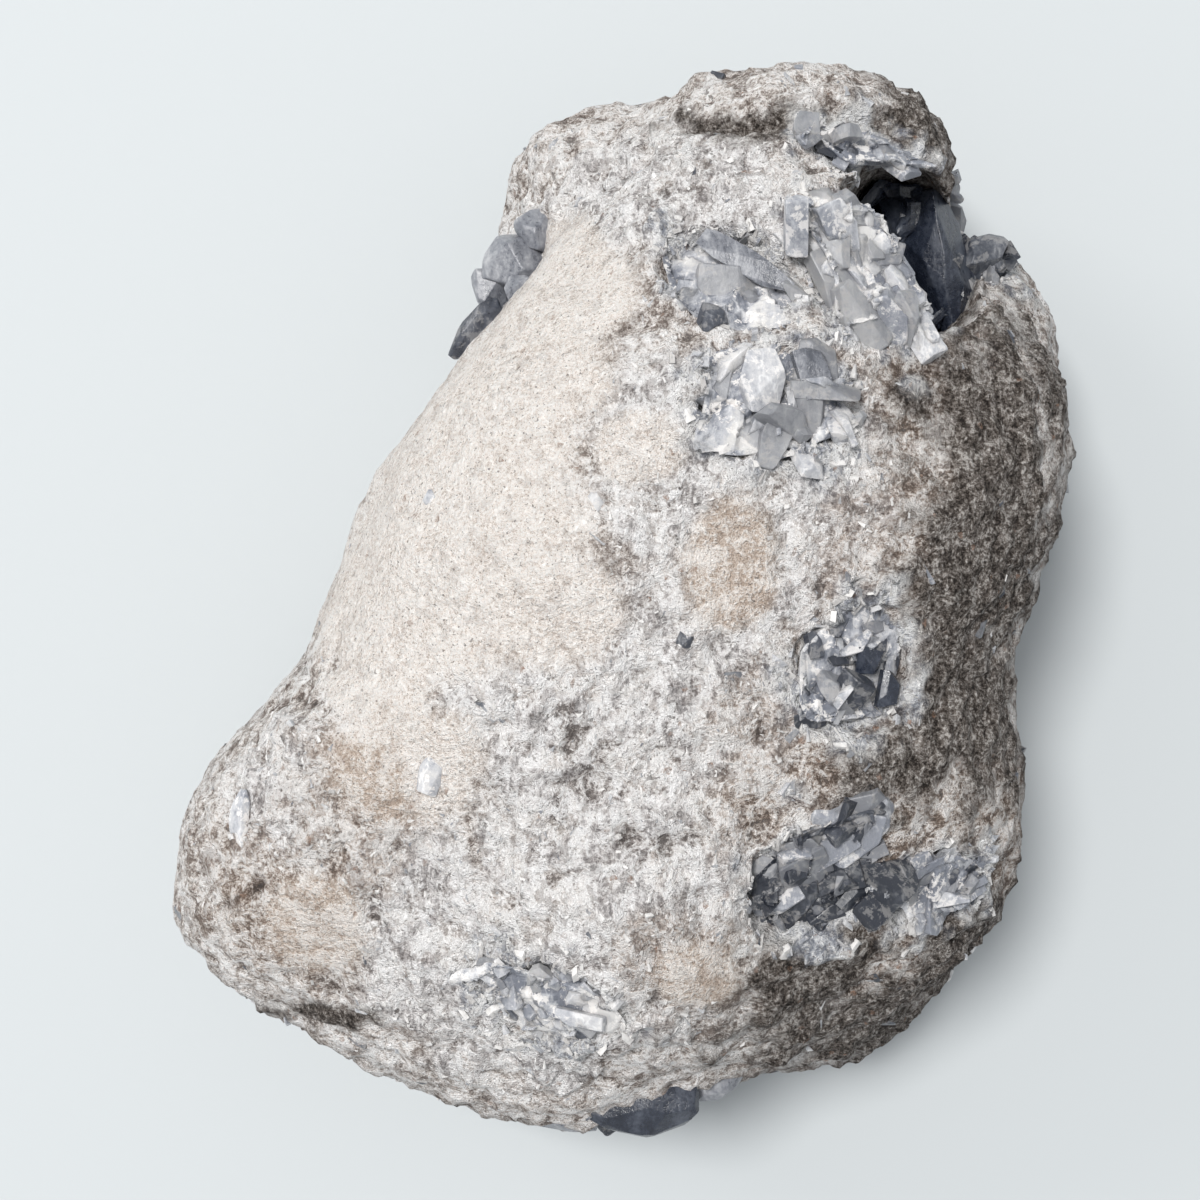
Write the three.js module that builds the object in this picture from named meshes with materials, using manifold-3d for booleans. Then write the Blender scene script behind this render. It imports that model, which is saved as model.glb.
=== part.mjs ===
// A celestite geode from a limestone bed, about 16 cm long: one broken half of a nodule,
// lying on its broken rim with the crystal-lined hollow underneath. The chalky host rock
// is one solid. Blue-grey celestite fills the hollow as one crust, shows through a gap
// high on one side, and comes out on the host's skin in a number of small windows.
//
// Millimetres, +Z up. The plan is the one seen from straight above, with +X to the right
// and +Y to the top. The host is worked out about the middle of that plan, and the whole
// group is moved at the end so that its origin is the bottom centre of its box.
import * as THREE from "three";
import { mergeVertices } from "three/addons/utils/BufferGeometryUtils.js";
import { ConvexGeometry } from "three/addons/geometries/ConvexGeometry.js";
import { ImprovedNoise } from "three/addons/math/ImprovedNoise.js";
import Module from "manifold-3d";

const wasm = await Module();
wasm.setup();

// Driving dimensions of the host rock
const WIDEST_HEIGHT = 40; // where the plan outline is reached
const CROWN_HEIGHT = 84; // top of the dome
const NODULE_FLOOR = -34; // lowest point of the nodule before it broke
const SHOULDER_LEFT = 2.15; // 2 is round, more is squarer: the left side slopes away,
const SHOULDER_RIGHT = 2.75; // the right side drops steeply
const PLAN_CENTRE = new THREE.Vector2(6, -3);
const HEART = new THREE.Vector3(6, -3, 34); // every surface point is seen from here
const HOST_DETAIL = 10;
const SKIN_GAP = 0.4; // clearance that crystals keep to the host

// Plan outline of the main mass at its widest height, clockwise from the top
const OUTLINE = [
  [15, 77.7], [28, 79.2], [40, 78.5], [48.5, 75], [52, 68], [51.5, 60], [53, 52.5],
  [59, 45], [65, 38], [68.5, 31], [70, 24], [68.5, 16], [65.5, 7], [62.5, -3],
  [61.2, -13], [62, -24], [62.4, -34], [59, -45], [51.5, -54], [41, -61],
  [30, -67.5], [17, -72.5], [4, -76], [-10, -78.5], [-20, -76], [-29, -72.8], [-41, -67],
  [-52.5, -60.5], [-61, -51], [-64, -41], [-61, -29], [-52.7, -18],
  [-44.3, -9.5], [-41.6, -1], [-37.5, 10], [-27, 27.5], [-13, 46],
  [-2, 58.5], [6, 69.5],
];

// Lumps that stand out of the main mass: centre, half sizes, turn about Z in degrees
const LUMPS = [
  { name: "upper left lobe", at: [-0.5, 63.5, 31], half: [17, 14, 19], turn: 8 },
  { name: "upper block", at: [35, 61, 46], half: [17, 13, 22], turn: -14 },
  { name: "top ledge", at: [30, 69.5, 56], half: [19, 6.5, 11], turn: -7 },
  { name: "right rim lobe", at: [58.5, 41.5, 30], half: [12, 15.5, 22], turn: 25 },
  { name: "lower right foot", at: [34.5, -59, 24], half: [25, 14.5, 25], turn: 24 },
  { name: "lower middle swell", at: [5, -38, 55], half: [29, 30, 30], turn: 0 },
  { name: "lower left lobe", at: [-43, -39, 36], half: [20, 23, 31], turn: -10 },
];
const LUMP_BLEND = 3;

// Shallow rises and dips of the upper skin: plan centre, radius and rise
const SWELLS = [
  { at: [-22, -28], radius: 13, rise: -3 },
  { at: [-14, 22], radius: 22, rise: 1.5 },
  { at: [20, 26], radius: 16, rise: 2 },
  { at: [19, 43], radius: 11, rise: -3 },
  { at: [32, -12], radius: 14, rise: 1.5 },
  { at: [46, 6], radius: 10, rise: 2 },
];

// Flat spots of the broken rim that the geode rests on: centre and radius
const FEET = [
  { at: [-43, -43], radius: 9 },
  { at: [30, -56], radius: 10 },
  { at: [-22, 15], radius: 8 },
  { at: [52, 14], radius: 8.5 },
  { at: [17, 62], radius: 9 },
  { at: [50, -22], radius: 7 },
  { at: [-8, -63], radius: 7 },
];
const RIM_RISE = 8; // how far the broken rim lifts between the feet
const FOOT_SUNK = 1.2; // the feet run on this far below the floor before they are cut flat
const RIM_SLOPE_LENGTH = 16;

// The crystal-lined hollow
const HOLLOW_CENTRE = new THREE.Vector3(7, -3, 6);
const HOLLOW_PLAN_SHARE = 0.63; // of the outline, at the floor
const HOLLOW_ROOF = 60;
const HOLLOW_SUNK = -14; // it runs on below the rim
const HOLLOW_DETAIL = 4;
const CRUST_FOOT = 1.4; // the crust ends above the rim
const CRUST_DEPTH = 4.5;
const CRUST_CLEARANCE = 0.55; // to the host's wall
const CRUST_CRYSTALS = 30;
const CRUST_CRYSTAL_WIDTH = [9, 15];
// Crystals that stand in the throat of the gap: foot, tip and width
const THROAT_CRYSTALS = [
  { foot: [50, 40, 26], tip: [46.5, 58, 55], width: 12 },
  { foot: [38, 48, 24], tip: [40, 57, 48], width: 9 },
  { foot: [49, 38, 28], tip: [51.5, 47, 53], width: 9 },
];

// The gap high on the right, through which the hollow shows: rings from the top down
const GAP_RINGS = [
  { at: [43.5, 49, 80], half: [7.5, 12.5] },
  { at: [45.5, 51.5, 48], half: [8, 12] },
  { at: [40, 43, 22], half: [8, 9] },
];
const GAP_TURN = 32;
const GAP_CORNERS = 9;
const GAP_CRUST_TOP = 54; // its walls are lined with crystal up to here
const GAP_CRUST_DEPTH = 2.8;
const HOLLOW_BULGE = { toward: 53, width: 24, share: 0.18 }; // degrees about the plan centre

// Crystals that stand in a broken recess of the host: a plan spot on the upper skin, or a
// point near a side, the long way of the recess, its half sizes along, across and deep, the
// number and widths of the blades, how far they stand out and how much they lean
const WINDOWS = [
  {
    name: "upper_window", at: [17.5, 43.2], along: [1, -0.6, 0], half: [11.5, 8, 6.5],
    blades: 7, width: [6, 10], proud: 0.15, lean: 0.9, seed: 11,
  },
  {
    name: "shoulder", at: [35.5, 44.5], along: [1, -0.85, -0.3], half: [14, 10.5, 7],
    blades: 9, width: [9, 14], proud: 0.25, lean: 0.5, seed: 23,
  },
  {
    name: "middle_window", at: [22.3, 25.4], along: [1, -0.5, 0], half: [11.5, 9, 6.5],
    blades: 7, width: [6, 11], proud: 0.2, lean: 0.6, seed: 31,
  },
  {
    name: "right_window", at: [33.6, -9.4], along: [0.5, 1, 0], half: [11, 9, 7],
    blades: 7, width: [6, 10], proud: 0.2, lean: 0.6, seed: 47,
  },
  {
    name: "lower_right_window", at: [28, -38], along: [1, 0.8, 0], half: [10.5, 8.5, 6.5],
    blades: 7, width: [6, 9], proud: 0.25, lean: 0.6, seed: 53,
  },
  {
    name: "right_foot", at: [46.5, -40], along: [1, 0.2, -0.8], half: [9.5, 6, 5],
    blades: 5, width: [6, 9], proud: 0.2, lean: 0.5, seed: 61,
  },
  {
    name: "bottom_window", at: [-6.8, -54.8], along: [1, -0.4, 0], half: [10, 7, 5.5],
    blades: 6, width: [6, 9], proud: 0.2, lean: 0.5, seed: 71,
  },
  {
    name: "bottom_edge", at: [6, -76, 36], along: [1, 0.1, 0], half: [12.5, 8, 6.5],
    blades: 6, width: [9, 13], proud: 1, lean: 0.4, seed: 83,
  },
  {
    name: "left_edge", at: [-15, 49, 37], along: [0.5, 0.75, 0.5], half: [13.5, 8, 6.5],
    blades: 7, width: [8, 11], proud: 0.9, lean: 0.4, seed: 97,
  },
  {
    name: "top_block", at: [38.3, 61.5], along: [1, -0.3, -0.2], half: [11.5, 5, 5],
    blades: 6, width: [6, 9], proud: 0.2, lean: 0.4, seed: 101,
  },
  {
    name: "block_end", at: [52, 61, 42], along: [0, -0.5, 1], half: [8, 5, 5],
    blades: 4, width: [6, 9], proud: 0.5, lean: 0.4, seed: 107,
  },
  {
    name: "right_rim", at: [52.5, 48, 48], along: [1, -0.6, 0.2], half: [7, 5, 5.5],
    blades: 4, width: [7, 9], proud: 1, lean: 0.3, seed: 113,
  },
];

const noise = new ImprovedNoise();
const seeded = (seed) => {
  THREE.MathUtils.seededRandom(seed);
  return (low = 0, high = 1) => low + (high - low) * THREE.MathUtils.seededRandom();
};
const smooth = (t) => THREE.MathUtils.smoothstep(t, 0, 1);
const turned = (x, y, degrees) => {
  const a = THREE.MathUtils.degToRad(degrees);
  return [x * Math.cos(a) + y * Math.sin(a), y * Math.cos(a) - x * Math.sin(a)];
};

// Distance from the plan centre to the outline, by direction
const OUTLINE_STEPS = 720;
const outlineReach = (() => {
  const corners = OUTLINE.map(([x, y]) => new THREE.Vector3(x, y, 0));
  const curve = new THREE.CatmullRomCurve3(corners, true, "centripetal");
  const sampled = curve.getPoints(OUTLINE.length * 12).map((p) => {
    const from = new THREE.Vector2(p.x, p.y).sub(PLAN_CENTRE);
    return { angle: (from.angle() + 2 * Math.PI) % (2 * Math.PI), reach: from.length() };
  });
  sampled.sort((a, b) => a.angle - b.angle);
  const first = sampled[0];
  const last = sampled[sampled.length - 1];
  const ring = [
    { angle: last.angle - 2 * Math.PI, reach: last.reach },
    ...sampled,
    { angle: first.angle + 2 * Math.PI, reach: first.reach },
  ];
  const table = new Float64Array(OUTLINE_STEPS + 1);
  let k = 0;
  for (let i = 0; i <= OUTLINE_STEPS; i++) {
    const angle = (i / OUTLINE_STEPS) * 2 * Math.PI;
    while (k < ring.length - 2 && ring[k + 1].angle < angle) k++;
    const share = (angle - ring[k].angle) / (ring[k + 1].angle - ring[k].angle || 1);
    table[i] = THREE.MathUtils.lerp(ring[k].reach, ring[k + 1].reach, THREE.MathUtils.clamp(share, 0, 1));
  }
  return (x, y) => {
    const angle = (Math.atan2(y - PLAN_CENTRE.y, x - PLAN_CENTRE.x) + 2 * Math.PI) % (2 * Math.PI);
    const place = (angle / (2 * Math.PI)) * OUTLINE_STEPS;
    const i = Math.min(Math.floor(place), OUTLINE_STEPS - 1);
    return THREE.MathUtils.lerp(table[i], table[i + 1], place - i);
  };
})();

const smoothLower = (a, b, blend) => {
  const h = Math.max(blend - Math.abs(a - b), 0) / blend;
  return Math.min(a, b) - (h * h * blend) / 4;
};

// Each of these is below 0 inside its body and roughly a distance in millimetres outside
function mainMass(x, y, z) {
  const reach = outlineReach(x, y);
  const out = Math.hypot(x - PLAN_CENTRE.x, y - PLAN_CENTRE.y) / reach;
  const half = z > WIDEST_HEIGHT ? CROWN_HEIGHT - WIDEST_HEIGHT : WIDEST_HEIGHT - NODULE_FLOOR;
  const up = Math.abs(z - WIDEST_HEIGHT) / half;
  const across = THREE.MathUtils.clamp((x - PLAN_CENTRE.x) / 45, -1, 1);
  const power = THREE.MathUtils.lerp(SHOULDER_LEFT, SHOULDER_RIGHT, (across + 1) / 2);
  const level = Math.pow(Math.pow(out, power) + Math.pow(up, power), 1 / power);
  return (level - 1) * Math.min(reach, half);
}

function lump({ at, half, turn }, x, y, z) {
  const [u, v] = turned(x - at[0], y - at[1], turn);
  const level = Math.hypot(u / half[0], v / half[1], (z - at[2]) / half[2]);
  return (level - 1) * Math.min(...half);
}

function swellAt(x, y, z) {
  const onTop = smooth((z - WIDEST_HEIGHT) / 20);
  let rise = 0;
  for (const s of SWELLS) {
    const d = Math.hypot(x - s.at[0], y - s.at[1]) / s.radius;
    rise += s.rise * Math.exp(-d * d);
  }
  return rise * onTop;
}

function unevenness(x, y, z) {
  return (
    1.5 * noise.noise(x / 19, y / 19, z / 19 + 3.7) +
    0.8 * noise.noise(x / 8 + 11, y / 8, z / 8) +
    0.35 * noise.noise(x / 4.2, y / 4.2 + 5, z / 4.2)
  );
}

function rimHeight(x, y) {
  let lift = 1;
  for (const foot of FEET) {
    const past = Math.hypot(x - foot.at[0], y - foot.at[1]) - foot.radius;
    lift = Math.min(lift, smooth(past / RIM_SLOPE_LENGTH));
  }
  return lift * RIM_RISE * (1 + 0.4 * noise.noise(x / 12, y / 12, 9.1)) - FOOT_SUNK;
}

function host(x, y, z) {
  let level = mainMass(x, y, z);
  for (const one of LUMPS) level = smoothLower(level, lump(one, x, y, z), LUMP_BLEND);
  level -= swellAt(x, y, z) + unevenness(x, y, z);
  return Math.max(level, rimHeight(x, y) - z);
}

function hollow(x, y, z) {
  const share = 1 + 0.1 * noise.noise(x / 22, y / 22, z / 22);
  const angle = THREE.MathUtils.radToDeg(Math.atan2(y - PLAN_CENTRE.y, x - PLAN_CENTRE.x));
  const bulge = HOLLOW_BULGE.share * Math.exp(-(((angle - HOLLOW_BULGE.toward) / HOLLOW_BULGE.width) ** 2));
  const wall = outlineReach(x, y) * (HOLLOW_PLAN_SHARE + bulge) * share;
  const out = Math.hypot(x - PLAN_CENTRE.x, y - PLAN_CENTRE.y) / wall;
  const up = Math.max(z - HOLLOW_CENTRE.z, 0) / ((HOLLOW_ROOF - HOLLOW_CENTRE.z) * share);
  return Math.max((Math.hypot(out, up) - 1) * 40, HOLLOW_SUNK - z);
}

// A closed surface about a point: each corner of an even ball is pushed out to where the body ends
const FARTHEST = 130;
function starSurface(centre, detail, body, grow = 0, twist = 0) {
  const ball = new THREE.IcosahedronGeometry(1, detail);
  ball.deleteAttribute("normal");
  ball.deleteAttribute("uv");
  const surface = mergeVertices(ball.rotateZ(twist), 1e-4);
  const corners = surface.getAttribute("position");
  const way = new THREE.Vector3();
  for (let i = 0; i < corners.count; i++) {
    way.fromBufferAttribute(corners, i).normalize();
    const at = (d) => body(centre.x + way.x * d, centre.y + way.y * d, centre.z + way.z * d);
    let outside = FARTHEST;
    while (outside > 1 && at(outside - 1) > 0) outside -= 1;
    let inside = outside - 1;
    for (let k = 0; k < 18; k++) {
      const middle = (inside + outside) / 2;
      if (at(middle) > 0) outside = middle;
      else inside = middle;
    }
    const reach = inside + grow;
    corners.setXYZ(i, centre.x + way.x * reach, centre.y + way.y * reach, centre.z + way.z * reach);
  }
  return surface;
}

// Between three.js geometry and the solids that can be joined and cut
function solidOf(geometry) {
  const bare = new THREE.BufferGeometry();
  bare.setAttribute("position", geometry.getAttribute("position").clone());
  if (geometry.index) bare.setIndex(geometry.index);
  const merged = mergeVertices(bare, 1e-4);
  const mesh = new wasm.Mesh({
    numProp: 3,
    vertProperties: new Float32Array(merged.getAttribute("position").array),
    triVerts: new Uint32Array(merged.index.array),
  });
  return new wasm.Manifold(mesh);
}

function geometryOf(solid) {
  const mesh = solid.getMesh();
  const geometry = new THREE.BufferGeometry();
  geometry.setAttribute("position", new THREE.BufferAttribute(mesh.vertProperties, 3));
  geometry.setIndex(new THREE.BufferAttribute(mesh.triVerts, 1));
  return geometry;
}

const largestOf = (solid) => solid.decompose().reduce((a, b) => (a.volume() > b.volume() ? a : b));
const joined = (solids) => solids.reduce((a, b) => a.add(b));

// One celestite crystal: a four-sided blade that widens from its foot and ends in a chisel
function crystalShape(width, depth, length, random) {
  const points = [];
  const shoulder = length - random(0.3, 0.55) * width;
  const slant = random(-0.16, 0.16) * length;
  for (const [u, v] of [[1, 0.2], [-0.2, 1], [-1, -0.2], [0.2, -1]]) {
    const x = (u * width) / 2;
    const y = (v * depth) / 2;
    points.push(new THREE.Vector3(x * 0.6, y * 0.6, 0));
    points.push(new THREE.Vector3(x, y, shoulder + u * slant));
  }
  const ridge = random(0.12, 0.3) * width;
  points.push(new THREE.Vector3(ridge, 0, length + 0.4 * slant));
  points.push(new THREE.Vector3(-ridge, 0, length - 0.4 * slant));
  return new ConvexGeometry(points);
}

const UP = new THREE.Vector3(0, 0, 1);
function placed(geometry, base, way, spin) {
  const stand = new THREE.Quaternion().setFromUnitVectors(UP, way.clone().normalize());
  const twist = new THREE.Quaternion().setFromAxisAngle(UP, spin);
  return geometry.applyQuaternion(twist).applyQuaternion(stand).translate(base.x, base.y, base.z);
}

// The host's skin straight below a plan spot, or along the line from the heart through a
// point, and the way the skin faces there
function skinAt(x, y, z) {
  const start = z === undefined ? new THREE.Vector3(x, y, WIDEST_HEIGHT) : HEART.clone();
  const way = z === undefined ? UP : new THREE.Vector3(x, y, z).sub(HEART).normalize();
  const level = (p) => host(p.x, p.y, p.z);
  let reach = FARTHEST;
  const at = (d) => start.clone().addScaledVector(way, d);
  while (reach > 1 && level(at(reach)) > 0) reach -= 0.1;
  const point = at(reach);
  const slope = (axis) => {
    const step = new THREE.Vector3().setComponent(axis, 3);
    return level(point.clone().add(step)) - level(point.clone().sub(step));
  };
  return { point, facing: new THREE.Vector3(...[0, 1, 2].map(slope)).normalize() };
}

const hostBlock = solidOf(starSurface(HEART, HOST_DETAIL, host));
const hostGrown = solidOf(starSurface(HEART, HOST_DETAIL, host, SKIN_GAP));
const hollowVoid = solidOf(starSurface(HOLLOW_CENTRE, HOLLOW_DETAIL, hollow));

// A broken recess: an uneven egg of flat facets, with Z out of the host's skin
const RECESS_CORNERS = 14;
function recessShape(half, random) {
  const points = [];
  for (let i = 0; i < RECESS_CORNERS; i++) {
    const z = 1 - (2 * i + 1) / RECESS_CORNERS;
    const around = i * Math.PI * (3 - Math.sqrt(5));
    const flat = Math.sqrt(1 - z * z);
    const corner = new THREE.Vector3(flat * Math.cos(around), flat * Math.sin(around), z);
    points.push(corner.multiply(half).multiplyScalar(random(0.92, 1.12)));
  }
  return new ConvexGeometry(points);
}

// One group of crystals and the recess that it stands in
function growWindow({ at, along, half, blades, width, proud, lean, seed }) {
  const random = seeded(seed);
  const { point, facing } = skinAt(...at);
  const across = new THREE.Vector3().crossVectors(facing, new THREE.Vector3(...along)).normalize();
  const lengthways = new THREE.Vector3().crossVectors(across, facing);
  const stand = new THREE.Matrix4().makeBasis(lengthways, across, facing).setPosition(point);
  const size = new THREE.Vector3(...half);
  const egg = recessShape(size, random);
  const shrink = 1 - 0.55 / Math.min(...half);
  const inner = egg.clone().scale(shrink, shrink, shrink);
  const recess = solidOf(egg.applyMatrix4(stand));
  const room = solidOf(inner.clone().applyMatrix4(stand));
  const bed = solidOf(inner).trimByPlane([0, 0, -1], 0.12 * size.z);
  const standing = [];
  for (let i = 0; i < blades; i++) {
    const around = i * Math.PI * (3 - Math.sqrt(5)) + random(-0.4, 0.4);
    const out = Math.sqrt((i + 0.5) / blades) * 0.92;
    const foot = new THREE.Vector3(out * Math.cos(around), out * Math.sin(around), -0.72);
    foot.multiply(size);
    const fan = new THREE.Vector3(foot.x / size.x, foot.y / size.y, 0).multiplyScalar(0.35);
    const way = new THREE.Vector3(random(-lean, lean), random(-lean, lean), 1).add(fan);
    const across_ = random(...width);
    const length = size.z * (0.8 + proud * random(0.3, 1) - 0.2 * out);
    const blade = crystalShape(across_, across_ * random(0.4, 0.75), length, random);
    standing.push(solidOf(placed(blade, foot, way, random(0, Math.PI))));
  }
  const grown = joined([bed, ...standing]).transform(stand.elements);
  const claim = (margin) => {
    const reach = new THREE.Vector3(1.3, 1.3, 2.4).multiply(size).addScalar(margin);
    const round = new THREE.IcosahedronGeometry(1, 1).scale(...reach);
    return solidOf(round.applyMatrix4(stand));
  };
  const crystals = grown.intersect(claim(0)).subtract(hostGrown.subtract(room));
  return { recess, crystals, claimed: claim(0.4) };
}

function gapShape(shrink) {
  const points = [];
  for (const { at, half } of GAP_RINGS) {
    for (let i = 0; i < GAP_CORNERS; i++) {
      const around = (i / GAP_CORNERS) * 2 * Math.PI;
      const u = (half[0] - shrink) * Math.cos(around);
      const v = (half[1] - shrink) * Math.sin(around);
      const [x, y] = turned(u, v, -GAP_TURN);
      points.push(new THREE.Vector3(at[0] + x, at[1] + y, at[2]));
    }
  }
  return solidOf(new ConvexGeometry(points));
}

// The crust of the hollow: a lining with crystals that point to the middle
function crustShape() {
  const random = seeded(211);
  const lining = solidOf(starSurface(HOLLOW_CENTRE, HOLLOW_DETAIL, hollow, -CRUST_CLEARANCE));
  const inside = solidOf(starSurface(HOLLOW_CENTRE, 3, hollow, -CRUST_DEPTH, 0.3));
  const standing = [];
  for (let i = 0; i < CRUST_CRYSTALS; i++) {
    const up = 0.02 + (0.96 * (i + 0.5)) / CRUST_CRYSTALS;
    const around = i * Math.PI * (3 - Math.sqrt(5));
    const flat = Math.sqrt(1 - up * up);
    const way = new THREE.Vector3(flat * Math.cos(around), flat * Math.sin(around), up);
    const at = (d) => hollow(
      HOLLOW_CENTRE.x + way.x * d, HOLLOW_CENTRE.y + way.y * d, HOLLOW_CENTRE.z + way.z * d);
    let reach = 5;
    while (at(reach) < 0) reach += 0.25;
    const foot = HOLLOW_CENTRE.clone().addScaledVector(way, reach - 1.2);
    const inward = way.negate().add(new THREE.Vector3(random(-0.4, 0.4), random(-0.4, 0.4), random(-0.4, 0.4)));
    const width = random(...CRUST_CRYSTAL_WIDTH);
    const length = CRUST_DEPTH + width * random(0.7, 1.25);
    const blade = crystalShape(width, width * random(0.5, 0.8), length, random);
    standing.push(solidOf(placed(blade, foot, inward, random(0, Math.PI))));
  }
  const throat = THROAT_CRYSTALS.map(({ foot, tip, width }) => {
    const from = new THREE.Vector3(...foot);
    const way = new THREE.Vector3(...tip).sub(from);
    return solidOf(placed(crystalShape(width, width * 0.7, way.length(), random), from, way, 0.6));
  });
  const lined = gapShape(CRUST_CLEARANCE + GAP_CRUST_DEPTH);
  const walls = gapShape(CRUST_CLEARANCE).trimByPlane([0, 0, -1], -GAP_CRUST_TOP);
  const room = lining.add(walls);
  const shell = room.subtract(inside).subtract(lined);
  const crust = shell.add(joined([...standing, ...throat]).intersect(room));
  return largestOf(crust.trimByPlane([0, 0, 1], CRUST_FOOT));
}

const geode = new THREE.Group();
const hostMaterial = new THREE.MeshStandardMaterial({ color: 0xd8cfc6, roughness: 0.95, metalness: 0 });
const crystalMaterial = new THREE.MeshPhysicalMaterial({
  color: 0xc3cddc, roughness: 0.12, metalness: 0, transmission: 0.9, ior: 1.62,
});
function addNode(name, solid, material) {
  const mesh = new THREE.Mesh(geometryOf(solid), material);
  mesh.name = name;
  geode.add(mesh);
}

// Where two groups meet, the one listed first keeps the space
let taken = null;
const windows = WINDOWS.map((one) => {
  const { recess, crystals, claimed } = growWindow(one);
  const kept = largestOf(taken ? crystals.subtract(taken) : crystals);
  taken = taken ? taken.add(claimed) : claimed;
  return { name: one.name, recess, crystals: kept };
});
const recesses = joined(windows.map((one) => one.recess));
const hostRock = hostBlock.subtract(hollowVoid).subtract(gapShape(0)).subtract(recesses);
addNode("host_rock", largestOf(hostRock.trimByPlane([0, 0, 1], 0)), hostMaterial);
addNode("cavity_crust", largestOf(crustShape().subtract(taken)), crystalMaterial);
for (const { name, crystals } of windows) addNode(`crystals_${name}`, crystals, crystalMaterial);

const box = new THREE.Box3().setFromObject(geode);
const middle = box.getCenter(new THREE.Vector3());
for (const mesh of geode.children) mesh.geometry.translate(-middle.x, -middle.y, -box.min.z);

export default geode;
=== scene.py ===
import math

import bmesh
import bpy
import numpy as np
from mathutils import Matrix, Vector, bvhtree, noise


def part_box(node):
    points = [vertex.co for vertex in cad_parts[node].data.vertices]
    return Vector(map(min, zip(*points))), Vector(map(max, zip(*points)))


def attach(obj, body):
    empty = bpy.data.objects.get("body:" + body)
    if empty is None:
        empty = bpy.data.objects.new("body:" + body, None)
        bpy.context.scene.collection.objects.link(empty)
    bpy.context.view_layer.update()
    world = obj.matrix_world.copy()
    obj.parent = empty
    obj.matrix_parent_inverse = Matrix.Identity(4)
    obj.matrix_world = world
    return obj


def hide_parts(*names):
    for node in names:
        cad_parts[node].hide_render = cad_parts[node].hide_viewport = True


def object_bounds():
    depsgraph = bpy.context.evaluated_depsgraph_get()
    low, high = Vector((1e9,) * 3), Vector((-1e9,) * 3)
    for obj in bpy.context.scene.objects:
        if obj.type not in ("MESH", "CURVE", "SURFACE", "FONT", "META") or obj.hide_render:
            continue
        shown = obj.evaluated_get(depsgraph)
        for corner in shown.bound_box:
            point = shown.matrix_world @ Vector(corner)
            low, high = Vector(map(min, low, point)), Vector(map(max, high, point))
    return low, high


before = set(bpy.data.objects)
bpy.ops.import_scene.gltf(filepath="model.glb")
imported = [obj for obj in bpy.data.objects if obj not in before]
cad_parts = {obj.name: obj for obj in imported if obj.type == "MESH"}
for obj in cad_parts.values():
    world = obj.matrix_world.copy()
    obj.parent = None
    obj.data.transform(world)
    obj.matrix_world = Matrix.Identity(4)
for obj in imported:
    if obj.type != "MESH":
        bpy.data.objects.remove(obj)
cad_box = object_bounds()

MM = 0.001

# The surroundings: a plain pale floor, soft studio light from the upper left, and the camera
# straight above the specimen, 345 mm over the floor as the picture's perspective gives it.
CAMERA_PLACE = (-2.905, 1.4, 345)  # in mm
LENS = 60.45  # in mm, on a sensor of 36 mm
FLOOR_HALF = 2.5  # in m
AIM = Vector((0, 0, 0.04))  # the point that every light looks at, in m

camera_data = bpy.data.cameras.new("overhead_camera")
camera_data.lens = LENS
camera_data.sensor_width = 36
camera_data.clip_start = 0.01
camera = bpy.data.objects.new("overhead_camera", camera_data)
camera.location = Vector(CAMERA_PLACE) * MM
bpy.context.scene.collection.objects.link(camera)
bpy.context.scene.camera = camera
bpy.context.scene.view_settings.view_transform = "Standard"
bpy.context.scene.view_settings.look = "None"

floor_mesh = bpy.data.meshes.new("pale_floor")
sheet = bmesh.new()
bmesh.ops.create_grid(sheet, x_segments=2, y_segments=2, size=FLOOR_HALF)
sheet.to_mesh(floor_mesh)
sheet.free()
floor = bpy.data.objects.new("pale_floor", floor_mesh)
bpy.context.scene.collection.objects.link(floor)
floor_paint = bpy.data.materials.new("pale_floor_paint")
floor_paint.use_nodes = True
floor_look = floor_paint.node_tree.nodes["Principled BSDF"]
floor_look.inputs["Base Color"].default_value = (0.516, 0.544, 0.558, 1)
floor_look.inputs["Roughness"].default_value = 0.95
floor_look.inputs["Specular IOR Level"].default_value = 0.05
floor_mesh.materials.append(floor_paint)


def studio_light(name, at, size, power, tint):
    data = bpy.data.lights.new(name, "AREA")
    data.shape = "DISK"
    data.size = size
    data.energy = power
    data.color = tint
    light = bpy.data.objects.new(name, data)
    light.location = at
    aim = AIM - Vector(at)
    light.rotation_euler = aim.to_track_quat("-Z", "Y").to_euler()
    bpy.context.scene.collection.objects.link(light)


studio_light("key_light", (-0.66, 0.58, 2.6), 0.65, 69.5, (1, 0.985, 0.965))
studio_light("grazing_light", (-1.9, 1.2, 1.7), 0.9, 13.3, (1, 0.98, 0.95))
studio = bpy.data.worlds.new("studio")
bpy.context.scene.world = studio
studio.use_nodes = True
studio.node_tree.nodes["Background"].inputs["Color"].default_value = (0.95, 0.975, 1, 1)
studio.node_tree.nodes["Background"].inputs["Strength"].default_value = 0.59


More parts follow.
